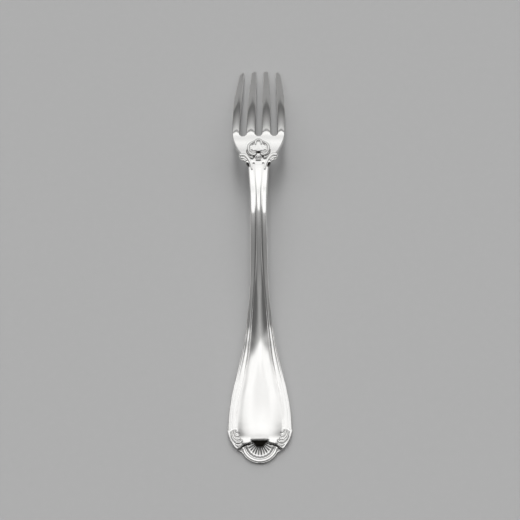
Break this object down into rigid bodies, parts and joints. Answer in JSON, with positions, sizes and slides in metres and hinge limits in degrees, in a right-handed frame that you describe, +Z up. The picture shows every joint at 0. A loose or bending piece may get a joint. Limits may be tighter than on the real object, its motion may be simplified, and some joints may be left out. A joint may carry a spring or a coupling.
{
  "type": "child fork",
  "caption": "Child's table fork with curved tines, a slim threaded stem and a spatulate handle ending in a shell; it rests face down on its tine tips and handle.",
  "frame": {"origin": "centre of the bottom of the bounding box, on the table that the fork lies on face down", "axes": "+Y runs from the handle end to the tine tips, +Z up out of the back of the fork, +X across it"},
  "size_m": [0.0206, 0.15, 0.0186],
  "materials": {
    "body_silver": "mirror-polished silver with fine hairline scratches",
    "ornament_silver": "polished silver relief with slightly darker hollows"
  },
  "bodies": {
    "root": {"fork_body": "body_silver", "shell": "ornament_silver", "left_scroll": "ornament_silver", "right_scroll": "ornament_silver", "neck_cartouche": "ornament_silver", "left_shoulder_leaf": "ornament_silver", "right_shoulder_leaf": "ornament_silver"}
  },
  "joints": []
}
